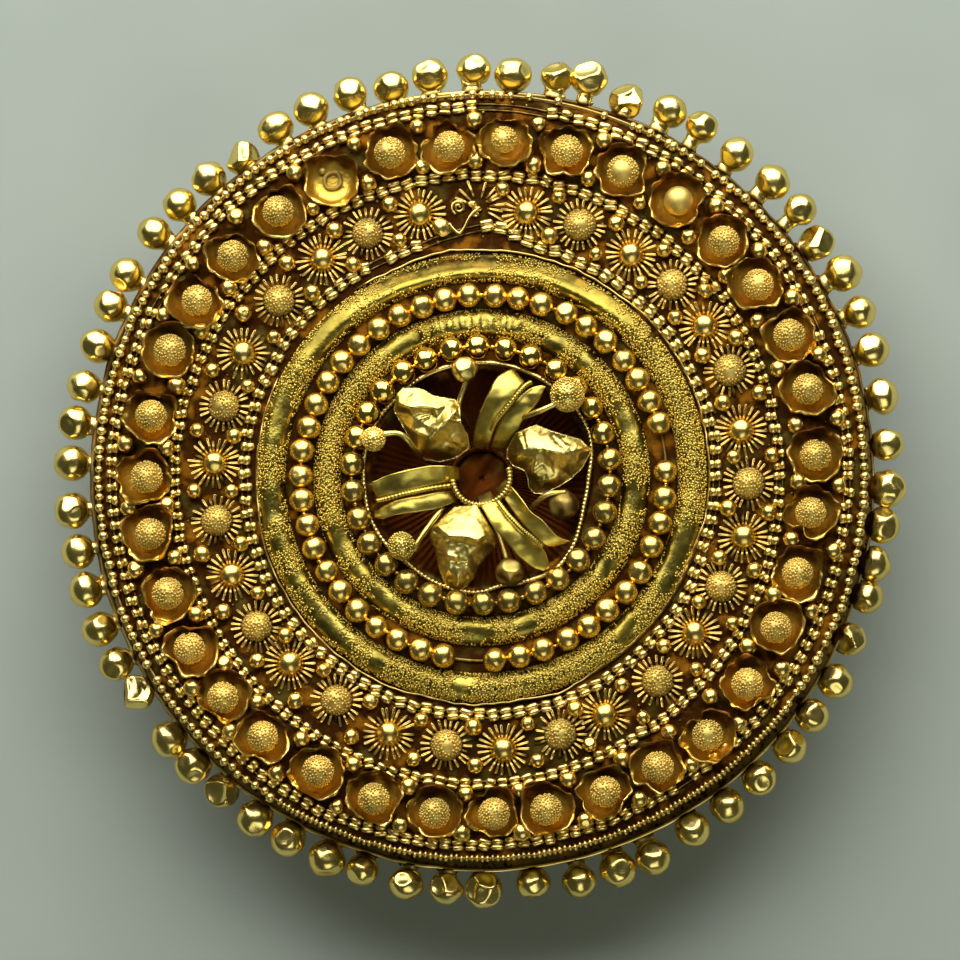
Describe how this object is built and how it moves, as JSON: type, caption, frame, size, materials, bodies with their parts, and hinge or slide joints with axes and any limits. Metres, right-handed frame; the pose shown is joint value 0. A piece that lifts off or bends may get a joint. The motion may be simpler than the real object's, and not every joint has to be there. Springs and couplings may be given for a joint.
{
  "type": "disc ear stud",
  "caption": "Large round gold ear stud: a hollow disc edged with beads, rings of flower cups, rosettes and spheres about an open bowl with a flower, on a hollow post.",
  "frame": {"origin": "centre of the underside of the foot, on the disc's axis", "axes": "+Z along the disc's axis, out of its decorated face; +Y towards the top of the face"},
  "size_m": [0.068, 0.068, 0.017],
  "materials": {
    "plain_gold": "satin, plain hammered sheet",
    "sheet_gold": "satin, orange-brown in the recesses, worn bright on the bands",
    "bead_gold": "polished, slightly dented",
    "wire_gold": "polished beaded wire",
    "cup_gold": "satin, deep orange inside",
    "grained_gold": "matt, covered with fine granules",
    "rosette_gold": "polished wire loops about domes",
    "dark_gold": "satin, red-brown",
    "flower_gold": "polished, crumpled sheet"
  },
  "bodies": {
    "root": {"post": "plain_gold", "back_plate": "plain_gold", "front_disc": "sheet_gold", "rim_beads": "bead_gold", "rim_wire": "wire_gold", "outer_line": "wire_gold", "cups": "cup_gold", "cup_balls": "grained_gold", "cup_granules": "bead_gold", "middle_line": "wire_gold", "rosettes": "rosette_gold", "rosette_granules": "bead_gold", "inner_line": "wire_gold", "outer_spheres": "bead_gold", "inner_spheres": "bead_gold", "mouth_wire": "wire_gold", "flower_tube": "dark_gold", "centre_ring": "wire_gold", "leaf_pair_1": "flower_gold", "leaf_pair_2": "flower_gold", "leaf_pair_3": "flower_gold", "head_1": "flower_gold", "head_2": "flower_gold", "head_3": "flower_gold", "stalk_ball_1": "flower_gold", "stalk_ball_2": "flower_gold", "stalk_ball_3": "flower_gold", "stalk_ball_4": "flower_gold", "stalk_ball_5": "flower_gold", "stalk_ball_6": "flower_gold"}
  },
  "joints": []
}
